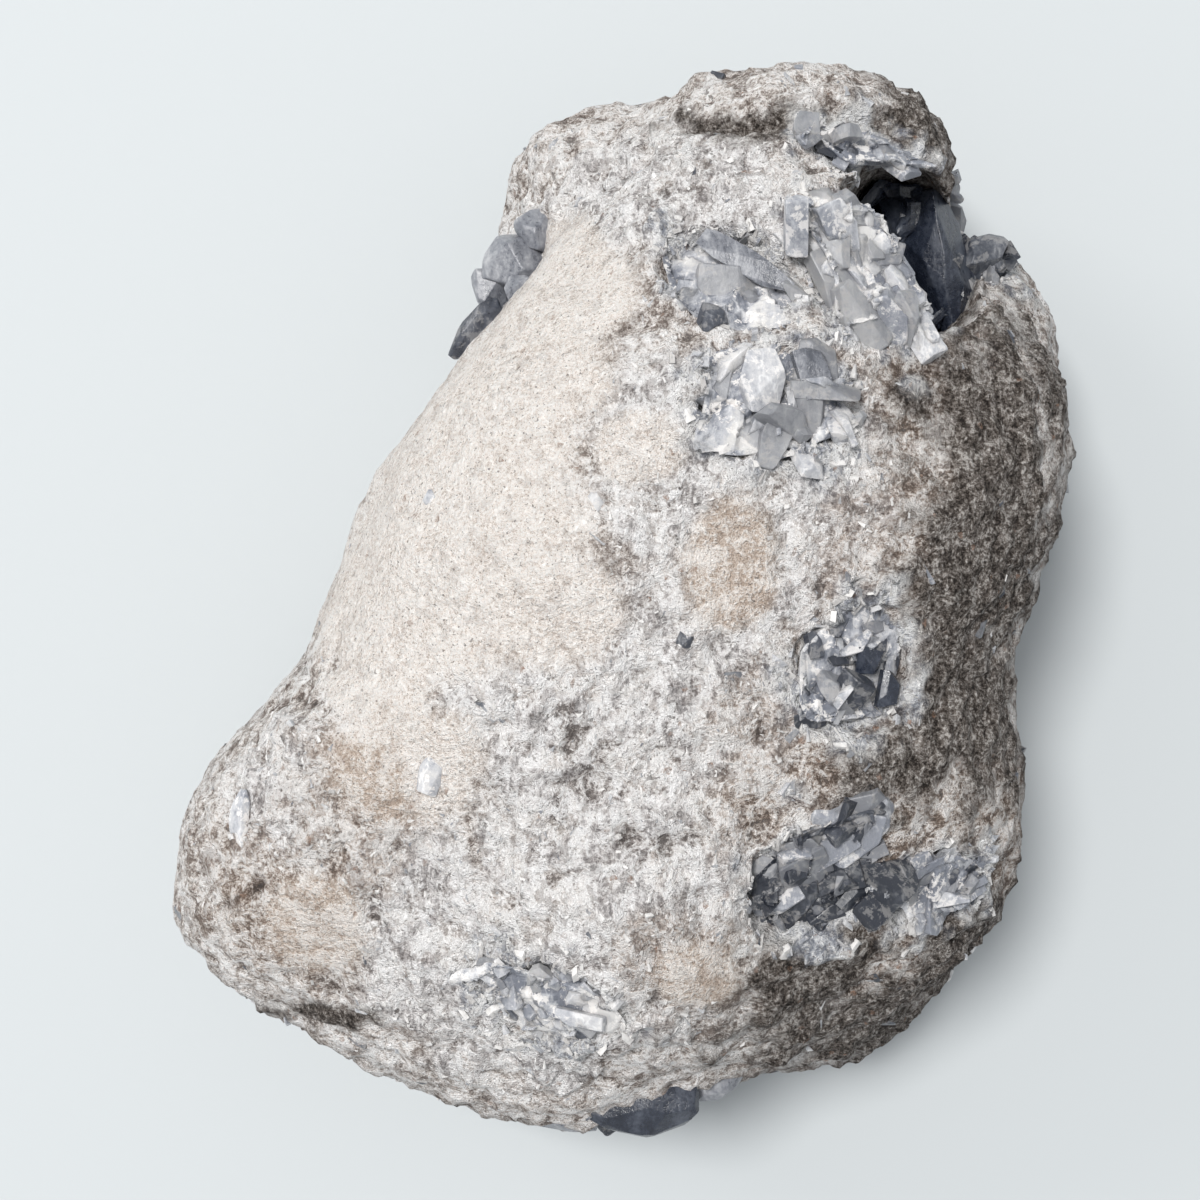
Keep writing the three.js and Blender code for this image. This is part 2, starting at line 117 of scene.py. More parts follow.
# The host rock: the chalky limestone shell of the nodule. Smooth sand lies over its crown
# in a broad band, sparry white celestite has grown through its middle, and dark gritty
# matrix shows on the steep side and under the ledge; there the same dark colour is also
# painted shade, on the side turned from the light and in the groove under the ledge.
# Broken and weathered, no coating.
SAND_PATCHES = [  # plan place and radii in mm, of the smooth sandy skin
    (-6, 43, 7, 6), (-12, 32, 9, 8), (-18, 21, 10, 10), (-17, 9, 11, 10), (-26, 0, 11, 8),
    (-9, 0, 8, 6), (14, 6, 5, 7), (2, 21, 5, 4), (-29, -20, 9, 7), (-42, -43, 6, 6),
    (10, -48, 5, 4), (-33, -10, 7, 5), (-21, 31, 9, 9), (-27, 17, 9, 11), (-35, 4, 9, 10),
    (-12, 42, 7, 7), (-9, 50, 5, 6), (-20, 25, 8, 8),
]
SPAR_PATCHES = [  # of the white sparry growth
    (3, 58, 12, 8), (13, 64, 8, 5), (4, 28, 8, 6), (9, 15, 10, 6), (28, 17, 9, 11),
    (8, -4, 13, 8), (-8, -25, 11, 16), (7, -37, 10, 11), (14, -15, 8, 8),
    (-28, -39, 8, 12), (-5, -52, 14, 8), (-45, -26, 8, 9), (42, -36, 4, 5),
    (27, 3, 6, 8), (-19, -14, 8, 5), (16, 52, 9, 6), (-14, -60, 12, 5), (-24, -52, 10, 6),
]
MATRIX_AND_SHADE_PATCHES = [  # of the dark gritty matrix, and of painted shade on the right side and under the ledge
    (50, 26, 13, 20), (50, 8, 12, 18), (48, -12, 11, 15), (45, -6, 9, 14), (34, -58, 18, 11),
    (38, -64, 14, 9), (25, 67, 14, 3), (-42, -57, 8, 2), (47, -44, 9, 14), (17, 8, 3, 4),
    (37, -21, 12, 6), (27, -47, 13, 8), (43, 42, 6, 6), (41, -12, 7, 9), (41, 66, 9, 7),
    (32, -26, 8, 4),
]
WORN_AND_SHADED_PATCHES = [  # of the browner, more weathered skin, and of painted shade on the right and lower right side
    (14, 6, 6, 8), (-36, -28, 10, 12), (-44, -44, 9, 9), (9, -46, 9, 8), (32, -20, 16, 14),
    (22, -14, 9, 9), (34, -42, 18, 18), (48, -30, 13, 40), (44, 20, 12, 22),
    (-50, -38, 8, 9), (33, 0, 10, 16), (19, -24, 8, 8), (40, 62, 12, 9),
]
DARK_PITS = [  # plan place, radius and depth in mm, of the single holes in the skin
    (-6, -16.5, 1.7, 1.6), (-2.2, -18, 1.5, 1.4), (-4, -22.5, 1.9, 1.5), (0.8, -29, 1.5, 1.6),
    (5.6, -30.5, 1.3, 1.4), (9.6, -29.6, 1.1, 1.1), (-50.2, -38.9, 0.9, 2.6),
    (2.5, -33.5, 0.8, 1.2), (-14, 33, 0.7, 0.8), (-8, -13.4, 1.4, 1.2),
]
SKIN_FACE = 0.99  # size of one face of the skin, in mm
ROUGHCAST_DEPTH = 0.55  # how deep the material's roughcast looks, in mm
SEEN_BESIDE = 7.0  # how far from a window its rim can be glassy, in mm
crystal_names = sorted(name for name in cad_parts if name.startswith("crystals_"))


def new_piece(name, mesh):
    piece = bpy.data.objects.new(name, mesh)
    bpy.context.scene.collection.objects.link(piece)
    return piece


def rock_copy(node_name, piece_name, rounding, voxel):
    # the solid's mesh merged, rounded and cut to even small faces, ready to be weathered
    mesh = bpy.data.meshes.new(piece_name)
    merged = bmesh.new()
    merged.from_mesh(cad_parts[node_name].data)
    bmesh.ops.remove_doubles(merged, verts=merged.verts, dist=1e-6)
    merged.to_mesh(mesh)
    merged.free()
    piece = new_piece(piece_name, mesh)
    if rounding:
        soften = piece.modifiers.new("rounding", "SUBSURF")
        soften.levels = soften.render_levels = rounding
    even = piece.modifiers.new("even_faces", "REMESH")
    even.mode = "VOXEL"
    even.voxel_size = voxel * MM
    graph = bpy.context.evaluated_depsgraph_get()
    finished = bpy.data.meshes.new_from_object(piece.evaluated_get(graph))
    piece.modifiers.clear()
    piece.data = finished
    return piece


def surface_of(mesh):
    places = np.empty(len(mesh.vertices) * 3, np.float32)
    mesh.vertices.foreach_get("co", places)
    normals = np.empty(len(mesh.vertices) * 3, np.float32)
    mesh.vertex_normals.foreach_get("vector", normals)
    return places.reshape(-1, 3).astype(float) / MM, normals.reshape(-1, 3).astype(float)


def put_back(mesh, moved):
    # writes places in mm to the mesh
    mesh.vertices.foreach_set("co", (moved * MM).astype(np.float32).ravel())
    mesh.update()


def write_values(mesh, name, values):
    # one value for each corner of the mesh, for its material to read
    field = mesh.attributes.new(name, "FLOAT", "POINT")
    field.data.foreach_set("value", values.astype(np.float32))


def weathering(points, size, seed):
    offset = Vector((seed * 17.3, seed * 5.1, seed * 9.7))
    return np.array([noise.noise(Vector(p) / size + offset) for p in points])


def broken_faces(points, size, seed):
    # tilted flat faces as broken spar shows them, with the clearness of their edges
    offset = Vector((seed * 11.9, seed * 3.3, seed * 7.7))
    height = np.empty(len(points))
    edge = np.empty(len(points))
    kind = np.empty(len(points))
    for i, p in enumerate(points):
        spot = Vector(p) / size + offset
        apart, places = noise.voronoi(spot)
        tilt = noise.cell_vector(places[0]) * 2 - Vector((1, 1, 1))
        height[i] = (spot - places[0]).dot(tilt)
        edge[i] = apart[1] - apart[0]
        kind[i] = tilt.x
    return height, edge, kind


def pits_in(points, size, seed, share):
    offset = Vector((seed * 2.9, seed * 13.3, seed * 4.7))
    depth = np.zeros(len(points))
    for i, p in enumerate(points):
        apart, places = noise.voronoi(Vector(p) / size + offset)
        if noise.cell_vector(places[0]).y < share:
            depth[i] = min(max((0.36 - apart[0]) * 6, 0), 1)
    return depth


def patches_over(points, patches, ragged, sharp=2.6):
    cover = np.full(len(points), -1.0)
    for x, y, rx, ry in patches:
        away = np.hypot((points[:, 0] - x) / rx, (points[:, 1] - y) / ry)
        cover = np.maximum(cover, 1.0 - away)
    return np.clip((cover + ragged) * sharp + 0.5, 0, 1)


def distance_to(points, node_names, reach):
    away = np.full(len(points), reach)
    for node_name in node_names:
        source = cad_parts[node_name].data
        corners = [v.co.copy() for v in source.vertices]
        faces = [tuple(f.vertices) for f in source.polygons]
        tree = bvhtree.BVHTree.FromPolygons(corners, faces)
        low, high = (np.array(c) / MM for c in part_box(node_name))
        close = np.all((points > low - reach) & (points < high + reach), axis=1)
        for i in np.nonzero(close)[0]:
            found = tree.find_nearest(Vector(points[i]) * MM, away[i] * MM)
            if found[3] is not None:
                away[i] = found[3] / MM
    return away


host = rock_copy("host_rock", "host_rock_skin", 2, SKIN_FACE)
points, facing = surface_of(host.data)
swell = weathering(points, 15, 1)
lumps = weathering(points, 6, 2)
knobs = weathering(points, 2.7, 3)
grit = weathering(points, 1.4, 4)
faces = np.clip(broken_faces(points, 3.8, 5)[0], -0.8, 0.7)
chips = broken_faces(points, 1.9, 8)[0]
layer_axes = np.array([[0.93, 0.36, 0.05], [-0.36, 0.93, 0.1], [0, -0.1, 1]])
layers = weathering(points @ layer_axes.T * np.array([0.16, 1, 0.8]), 2.2, 6)
fibres = weathering(points * np.array([1, 0.2, 0.6]), 1.5, 7)
pits = np.maximum(pits_in(points, 4.6, 1, 0.4), 0.8 * pits_in(points, 2.9, 2, 0.3))

ragged = 0.34 * swell + 0.45 * lumps + 0.4 * knobs + 0.2 * grit
up = np.clip((facing[:, 2] + 0.1) * 2.2, 0, 1)
sand = patches_over(points, SAND_PATCHES, 0.32 * ragged + 0.2) * up
spar = patches_over(points, SPAR_PATCHES, ragged + 0.15) * up * (1 - sand)
# painted shade: faces that are steep, turned down and turned to the right and lower right, away
# from the light, take the dark matrix colour
shaded_side = np.clip((0.5 - facing[:, 2]) * 2.2, 0, 1) * np.clip(0.75 + 1.3 * swell + lumps, 0, 1)
shaded_side *= np.clip(0.55 + facing[:, 0] * 0.9 - facing[:, 1] * 0.5 + lumps, 0.1, 1)
matrix_and_shade = np.maximum(patches_over(points, MATRIX_AND_SHADE_PATCHES, 1.3 * ragged, 1.5), shaded_side)
matrix_and_shade = matrix_and_shade * (1 - sand)
spar = spar * (1 - 0.8 * matrix_and_shade)
beside = distance_to(points, crystal_names, SEEN_BESIDE)
glassy = np.clip((3.4 + 5 * lumps + 5 * knobs - beside) / 3.0, 0, 1)
glassy *= np.clip((6.8 - beside) / 2, 0, 1)
plain = 1 - np.maximum.reduce([sand, spar, matrix_and_shade, glassy])
pits = pits * (1 - np.clip(1.7 * sand, 0, 1))
single_pits = np.zeros(len(points))
for x, y, radius, depth in DARK_PITS:
    away = np.hypot(points[:, 0] - x + 1.3 * knobs, points[:, 1] - y + 1.3 * grit) / radius
    single_pits = np.maximum(single_pits, np.clip(1.5 - away, 0, 1) * up * depth)

groove = np.clip(1.5 - np.abs(points[:, 1] - 68.6 + 0.05 * (points[:, 0] - 10)) / 2.0, 0, 1)
groove *= np.clip((points[:, 0] - 6) / 5, 0, 1) * np.clip((42 - points[:, 0]) / 4, 0, 1)
groove *= np.clip((points[:, 2] - 50) / 5, 0, 1)
# painted shade under the ledge: the groove takes the dark matrix colour, matrix and shade
# together
groove_matrix_and_shade = np.clip(groove * 1.6 + lumps + knobs - 0.3, 0, 1) * np.clip(3 * groove, 0, 1)
matrix_and_shade = np.maximum(matrix_and_shade, groove_matrix_and_shade)
crown = 1 - np.clip((0.35 - facing[:, 2]) * 2.5, 0, 1)
wear_and_shade = patches_over(points, WORN_AND_SHADED_PATCHES, 0.3 * swell + 0.5 * lumps + 0.3 * knobs)
relief = (
    0.8 * swell - 0.3
    + lumps * (0.38 + 0.72 * crown - 0.9 * sand * crown)
    + knobs * (0.15 + 0.7 * crown) * (1 - 0.95 * sand)
    + grit * (0.12 + 0.2 * crown) * (1 - 0.85 * sand)
    + (spar + 0.4 * plain + glassy) * (0.2 + 0.75 * crown) * (faces + 0.7 * chips)
    + matrix_and_shade * ((0.35 + 0.25 * crown) * layers + (0.1 + 0.25 * crown) * chips + 0.25 * grit)
    + 0.5 * spar * fibres
    - 0.3 * pits - 0.9 * single_pits
    - 2.4 * groove
)
moved = points + facing * relief[:, None]
moved[:, 2] = np.maximum(moved[:, 2], 0)
put_back(host.data, moved)
zones = host.data.attributes.new("zones", "FLOAT_COLOR", "POINT")
zones.data.foreach_set(
    "color", np.stack([sand, spar, matrix_and_shade, glassy], 1).astype(np.float32).ravel())
# painted shade: recesses, low knobs, pits and the single holes get a value that darkens them as
# if shade fell in them
recess_shade_values = 0.35 - (0.8 * knobs + 0.3 * lumps) * (1 - sand) + 0.2 * pits
recess_shade_values = np.clip(recess_shade_values + single_pits, 0, 1)
write_values(host.data, "recess_shade", recess_shade_values)
write_values(host.data, "wear_and_shade_map", wear_and_shade)
host.data.shade_smooth()


class Mixture:
    # adds and joins the nodes of one mineral's material
    def __init__(self, tree):
        self.tree = tree

    def node(self, kind, **settings):
        made = self.tree.nodes.new(kind)
        for key, value in settings.items():
            setattr(made, key, value)
        return made

    def feed(self, source, socket):
        if isinstance(source, (int, float)):
            socket.default_value = source
        elif isinstance(source, tuple):
            socket.default_value = (*source, 1)
        else:
            self.tree.links.new(source, socket)

    def cloudy(self, place, scale, detail=6.0, ruggedness=0.7, warp=0.0):
        made = self.node("ShaderNodeTexNoise")
        self.feed(place, made.inputs["Vector"])
        for key, value in (("Scale", scale), ("Detail", detail), ("Roughness", ruggedness)):
            made.inputs[key].default_value = value
        made.inputs["Distortion"].default_value = warp
        return made.outputs["Fac"]

    def grains(self, place, scale):
        # one even draw for each grain
        made = self.node("ShaderNodeTexVoronoi")
        self.feed(place, made.inputs["Vector"])
        made.inputs["Scale"].default_value = scale
        parts = self.node("ShaderNodeSeparateColor")
        self.feed(made.outputs["Color"], parts.inputs["Color"])
        return parts.outputs["Green"]

    def steps(self, source, stops):
        made = self.node("ShaderNodeValToRGB")
        while len(made.color_ramp.elements) < len(stops):
            made.color_ramp.elements.new(0.5)
        for element, (at, colour) in zip(made.color_ramp.elements, stops):
            element.position = at
            element.color = (*colour, 1)
        self.feed(source, made.inputs["Fac"])
        return made.outputs["Color"]

    def spread(self, source, low, high, out_low=0.0, out_high=1.0):
        made = self.node("ShaderNodeMapRange")
        values = (("Value", source), ("From Min", low), ("From Max", high),
                  ("To Min", out_low), ("To Max", out_high))
        for key, value in values:
            self.feed(value, made.inputs[key])
        return made.outputs["Result"]

    def sum(self, operation, first, second):
        made = self.node("ShaderNodeMath", operation=operation)
        self.feed(first, made.inputs[0])
        self.feed(second, made.inputs[1])
        return made.outputs["Value"]

    def blend(self, share, first, second, way="MIX"):
        made = self.node("ShaderNodeMix", data_type="RGBA", blend_type=way)
        live = {s.name: s for s in made.inputs if s.enabled}
        self.feed(share, live["Factor"])
        self.feed(first, live["A"])
        self.feed(second, live["B"])
        return next(s for s in made.outputs if s.enabled)


stone = bpy.data.materials.new("chalky_host_rock")
stone.use_nodes = True
rock = Mixture(stone.node_tree)
rock_look = stone.node_tree.nodes["Principled BSDF"]
place = rock.node("ShaderNodeTexCoord").outputs["Object"]
zone = rock.node("ShaderNodeAttribute", attribute_name="zones")
parts = rock.node("ShaderNodeSeparateColor")
rock.feed(zone.outputs["Color"], parts.inputs["Color"])
recess_shade_level = rock.node("ShaderNodeAttribute", attribute_name="recess_shade").outputs["Fac"]
wear_and_shade_place = rock.node("ShaderNodeAttribute", attribute_name="wear_and_shade_map").outputs["Fac"]


def evened(fac, reach=0.13):
    return rock.spread(fac, 0.5 - reach, 0.5 + reach)


mottle = evened(rock.cloudy(place, 170, 3, 0.66, 0.4), 0.1)
clumps = evened(rock.cloudy(place, 520, 4, 0.72, 0.4), 0.095)
crumbs = evened(rock.cloudy(place, 1900, 3, 0.78), 0.115)
dust = evened(rock.cloudy(place, 5600, 1, 0.7), 0.12)
fibre_place = rock.node("ShaderNodeMapping")
rock.feed(place, fibre_place.inputs["Vector"])
fibre_place.inputs["Scale"].default_value = (1, 0.3, 0.45)
fibre_place.inputs["Rotation"].default_value = (0, 0, 0.25)
fibre = evened(rock.cloudy(fibre_place.outputs["Vector"], 900, 3, 0.72, 0.4), 0.14)


def weighed(*pairs):
    total = None
    for share, source in pairs:
        part = rock.sum("MULTIPLY", source, share)
        total = part if total is None else rock.sum("ADD", total, part)
    return total


tone = weighed((0.28, mottle), (0.32, clumps), (0.28, crumbs), (0.12, dust))
fibrous = weighed((0.28, mottle), (0.24, clumps), (0.28, fibre), (0.15, crumbs), (0.05, dust))
sandy = weighed((0.12, mottle), (0.15, clumps), (0.38, crumbs), (0.35, dust))
streaky = weighed((0.25, fibre), (0.25, clumps), (0.4, crumbs), (0.1, dust))
plain_colour = rock.steps(tone, [
    (0.20, (0.27, 0.225, 0.20)), (0.34, (0.53, 0.475, 0.44)), (0.46, (0.78, 0.727, 0.692)),
    (0.59, (0.93, 0.895, 0.875)), (0.74, (0.98, 0.965, 0.955))])
sand_colour = rock.steps(sandy, [
    (0.18, (0.66, 0.575, 0.515)), (0.34, (0.88, 0.80, 0.74)), (0.50, (0.97, 0.91, 0.86)),
    (0.75, (0.98, 0.95, 0.92))])
spar_colour = rock.steps(fibrous, [
    (0.20, (0.37, 0.35, 0.35)), (0.34, (0.68, 0.65, 0.645)), (0.45, (0.91, 0.885, 0.88)),
    (0.56, (0.99, 0.98, 0.98))])
matrix_and_shade_colour = rock.steps(streaky, [
    (0.22, (0.020, 0.015, 0.012)), (0.36, (0.075, 0.061, 0.052)), (0.48, (0.15, 0.129, 0.114)),
    (0.60, (0.24, 0.213, 0.193)), (0.76, (0.52, 0.49, 0.465))])
glassy_colour = rock.steps(fibrous, [
    (0.20, (0.26, 0.275, 0.32)), (0.34, (0.50, 0.515, 0.555)), (0.46, (0.76, 0.765, 0.785)),
    (0.60, (0.94, 0.94, 0.94))])
spar_colour = rock.blend(rock.spread(mottle, 0.5, 1.0, 0, 0.8), spar_colour, plain_colour)
colour = rock.blend(parts.outputs["Green"], plain_colour, spar_colour)
colour = rock.blend(parts.outputs["Red"], colour, sand_colour)
# browner colour of the weathered skin, and painted shade on the right and lower right side
wear_and_shade_share = rock.sum("MULTIPLY", wear_and_shade_place, rock.spread(tone, 0.3, 0.62, 1, 0.25))
colour = rock.blend(wear_and_shade_share, colour, (0.68, 0.61, 0.555), "MULTIPLY")
# the dark matrix colour, also painted shade on the side turned from the light, under the ledge
# and in patches on the right side
colour = rock.blend(parts.outputs["Blue"], colour, matrix_and_shade_colour)
colour = rock.blend(zone.outputs["Alpha"], colour, glassy_colour)
# painted shade in the recesses, broken up by noise, and darkest in the deepest ones
recess_shade_level = rock.sum("ADD", recess_shade_level, rock.spread(clumps, 0, 1, 0.25, -0.25))
recess_shade_level = rock.sum("ADD", recess_shade_level, rock.spread(crumbs, 0, 1, 0.16, -0.16))
shade = rock.spread(recess_shade_level, 0.6, 1.05, 0, 0.8)
colour = rock.blend(shade, colour, (0.45, 0.41, 0.385), "MULTIPLY")
deepest_recess_shade = rock.spread(recess_shade_level, 1.0, 1.16, 0, 0.8)
colour = rock.blend(deepest_recess_shade, colour, (0.17, 0.152, 0.145))

bare = rock.spread(parts.outputs["Red"], 0, 1, 1, 0.4)
greys = rock.spread(rock.cloudy(place, 330, 4, 0.7, 0.4), 0.445, 0.42)
greys = rock.sum("MULTIPLY", greys, bare)
colour = rock.blend(rock.sum("MULTIPLY", greys, 0.72), colour, (0.58, 0.555, 0.545), "MULTIPLY")
# painted shade of tiny holes: dark specks with no relief of their own, in flocks and fewer on the
# sand
hole_shade_specks = rock.spread(rock.cloudy(place, 760, 4, 0.66), 0.385, 0.365)
flocks = rock.spread(rock.cloudy(place, 120, 2, 0.6), 0.42, 0.6, 0.15, 1)
hole_shade_specks = rock.sum("MULTIPLY", rock.sum("MULTIPLY", hole_shade_specks, flocks), bare)
colour = rock.blend(rock.sum("MULTIPLY", hole_shade_specks, 0.75), colour, (0.13, 0.112, 0.10))
specks = rock.spread(rock.cloudy(place, 2100, 2, 0.6), 0.347, 0.33)
colour = rock.blend(rock.sum("MULTIPLY", specks, 0.72), colour, (0.16, 0.135, 0.12))
rust_pick = rock.grains(place, 1300)
rust = rock.sum("MULTIPLY", rock.spread(rust_pick, 0.992, 0.995), crumbs)
colour = rock.blend(rock.sum("MULTIPLY", rust, 0.8), colour, (0.30, 0.17, 0.11))
rock.feed(colour, rock_look.inputs["Base Color"])

rock.feed(rock.spread(zone.outputs["Alpha"], 0, 1, 0.93, 0.45), rock_look.inputs["Roughness"])
rock_look.inputs["Specular IOR Level"].default_value = 0.3
roughcast = rock.node("ShaderNodeBump")
roughcast.inputs["Strength"].default_value = 0.85
roughcast.inputs["Distance"].default_value = ROUGHCAST_DEPTH * MM
rock.feed(weighed((1.1, clumps), (0.7, crumbs), (0.3, dust)), roughcast.inputs["Height"])
rock.feed(roughcast.outputs["Normal"], rock_look.inputs["Normal"])
host.data.materials.append(stone)
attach(host, "root")
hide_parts("host_rock")


# The celestite of the windows: in each broken recess of the host one grown-together mass of
# blades, clear to milky blue-grey, with frosty broken faces and dark gaps between them, the
# faces lying further back and the gaps painted darker as shade.
HEART = Vector((3.1, -1.6, 34))  # the middle of the hollow, in mm
MASS_FACE = 0.45  # size of one face of a mass, in mm
SINK_LIMITS = (-0.7, 3.4)  # how far a broken face may stand out and lie back, in mm
GAP_HEIGHT = 58  # in mm, only above it can a crystal close the gap
CUT_HEIGHT = 56  # in mm, only above it is a mass cut back over the gap
CELESTITE_IOR = 1.62
RIPPLE_DEPTH = 0.35  # in mm
GLOW_REACH = 2.2  # how far light spreads in milky stone, in mm


def break_off(form, at, way):
    # takes off what lies past a plane and closes the cut
    bmesh.ops.bisect_plane(form, geom=form.verts[:] + form.edges[:] + form.faces[:],
                           plane_co=at, plane_no=way, clear_outer=True)
    bmesh.ops.holes_fill(form, edges=[e for e in form.edges if e.is_boundary])


def as_arrays(form):
    # the finished form as corner and triangle arrays
    bmesh.ops.triangulate(form, faces=form.faces)
    form.verts.index_update()
    corners = np.array([v.co for v in form.verts])
    triangles = np.array([[v.index for v in f.verts] for f in form.faces])
    form.free()
    return corners, triangles


def blade_form(sides, taper, ridge, cuts, seed):
    # one broken blade of length 1 standing on its foot
    blade = bmesh.new()
    bmesh.ops.create_cone(blade, cap_ends=True, segments=sides, radius1=0.5,
                          radius2=0.5 * taper, depth=0.76)
    bmesh.ops.translate(blade, verts=blade.verts, vec=(0, 0, 0.38))
    top = [f for f in blade.faces if f.normal.z > 0.9]
    tip = bmesh.ops.extrude_face_region(blade, geom=top)
    tip_corners = [g for g in tip["geom"] if isinstance(g, bmesh.types.BMVert)]
    bmesh.ops.delete(blade, geom=top, context="FACES")
    bmesh.ops.scale(blade, verts=tip_corners, vec=(ridge, 0.12, 1))
    bmesh.ops.translate(blade, verts=tip_corners, vec=(0, 0, 0.24))
    chance = np.random.default_rng(seed)
    for _ in range(cuts):
        way = Vector(chance.normal(size=3)).normalized()
        if way.z < -0.2:
            way.z = -way.z
        break_off(blade, Vector((0, 0, 0.5)) + way * 0.36, way)
    bmesh.ops.remove_doubles(blade, verts=blade.verts, dist=0.01)
    bmesh.ops.recalc_face_normals(blade, faces=blade.faces)
    return as_arrays(blade)


BLADE_FORMS = [blade_form(6, 0.85, 0.75, 1, 1), blade_form(5, 0.9, 0.6, 2, 2),
               blade_form(8, 0.8, 0.8, 1, 3), blade_form(6, 0.7, 0.5, 2, 4),
               blade_form(4, 0.92, 0.85, 1, 5)]


def lump_form(cuts, seed):
    # one angular broken crystal about its own centre
    lump = bmesh.new()
    bmesh.ops.create_cube(lump, size=1.5)
    chance = np.random.default_rng(seed)
    for _ in range(cuts):
        way = Vector(chance.normal(size=3)).normalized()
        break_off(lump, way * chance.uniform(0.5, 0.72), way)
    bmesh.ops.remove_doubles(lump, verts=lump.verts, dist=0.05)
    bmesh.ops.recalc_face_normals(lump, faces=lump.faces)
    bmesh.ops.bevel(lump, geom=lump.edges[:], offset=0.035, segments=1, profile=0.5,
                    affect="EDGES", clamp_overlap=True, material=-1)
    return as_arrays(lump)


LUMP_FORMS = [lump_form(6, seed) for seed in range(11, 19)]


def grown_blades(name, feet, axes, sizes, kinds, materials, chance, forms=BLADE_FORMS, run=None,
                 tone_and_shade=0.5):
    # every blade set on its foot, turned to its axis, and joined into one mesh
    corners, triangles, finish, shades = [], [], [], []
    count = 0
    for foot, axis, size, kind in zip(feet, axes, sizes, kinds):
        form, form_faces = forms[int(chance.integers(len(forms)))]
        along = axis / np.linalg.norm(axis)
        beside_it = chance.normal(size=3)
        if run is not None:
            beside_it = 0.3 * beside_it + run
        across = np.cross(along, beside_it)
        across /= np.linalg.norm(across)
        third = np.cross(along, across)
        turn = np.stack([across * size[0], third * size[1], along * size[2]])
        corners.append(form @ turn + foot)
        triangles.append(form_faces + count)
        finish.append(np.full(len(form_faces), kind))
        shades.append(np.full(len(form), tone_and_shade + chance.uniform(-0.32, 0.32)))
        count += len(form)
    mesh = bpy.data.meshes.new(name)
    mesh.from_pydata((np.vstack(corners) * MM).tolist(), [], np.vstack(triangles).tolist())
    for material in materials:
        mesh.materials.append(material)
    mesh.polygons.foreach_set("material_index", np.concatenate(finish).astype(np.int32))
    write_values(mesh, "shade", np.concatenate(shades))
    mesh.update()
    return new_piece(name, mesh)


veil_group = bpy.data.node_groups.new("frosty_veil", "ShaderNodeTree")
veil_group.interface.new_socket("Place", in_out="INPUT", socket_type="NodeSocketVector")
veil_group.interface.new_socket("Veil", in_out="OUTPUT", socket_type="NodeSocketFloat")
veil_group.interface.new_socket("Crack", in_out="OUTPUT", socket_type="NodeSocketFloat")
veil_group.interface.new_socket("Relief", in_out="OUTPUT", socket_type="NodeSocketFloat")
veil = Mixture(veil_group)
veil_in = veil.node("NodeGroupInput").outputs["Place"]
veil_out = veil.node("NodeGroupOutput")
stretch = veil.node("ShaderNodeMapping")
veil.feed(veil_in, stretch.inputs["Vector"])
stretch.inputs["Rotation"].default_value = (0.4, 0.3, 0.7)
stretch.inputs["Scale"].default_value = (1, 0.35, 0.7)
veil_cloud = veil.cloudy(stretch.outputs["Vector"], 260, 6, 0.72, 0.35)
veil_flaw = veil.cloudy(veil_in, 1500, 4, 0.7, 0.4)
veil_bend = veil.node("ShaderNodeVectorMath", operation="MULTIPLY_ADD")
veil_turn = veil.node("ShaderNodeTexNoise")
veil.feed(veil_in, veil_turn.inputs["Vector"])
veil_turn.inputs["Scale"].default_value = 420
veil.feed(veil_turn.outputs["Color"], veil_bend.inputs[0])
veil_bend.inputs[1].default_value = (0.003, 0.003, 0.003)
veil.feed(stretch.outputs["Vector"], veil_bend.inputs[2])
veil_cells = veil.node("ShaderNodeTexVoronoi", feature="DISTANCE_TO_EDGE")
veil.feed(veil_bend.outputs["Vector"], veil_cells.inputs["Vector"])
veil_cells.inputs["Scale"].default_value = 330
veil_line = veil.spread(veil_cells.outputs["Distance"], 0.0, 0.07, 1, 0)
veil.feed(veil.sum("MULTIPLY", veil_line, veil.spread(veil_cloud, 0.45, 0.6)),
          veil_out.inputs["Crack"])
frosted = veil.sum("ADD", veil.sum("MULTIPLY", veil_cloud, 0.7),
                   veil.sum("MULTIPLY", veil_flaw, 0.3))
veil.feed(frosted, veil_out.inputs["Veil"])
veil.feed(veil.sum("ADD", veil_cloud, veil.sum("MULTIPLY", veil_flaw, 0.6)),
          veil_out.inputs["Relief"])


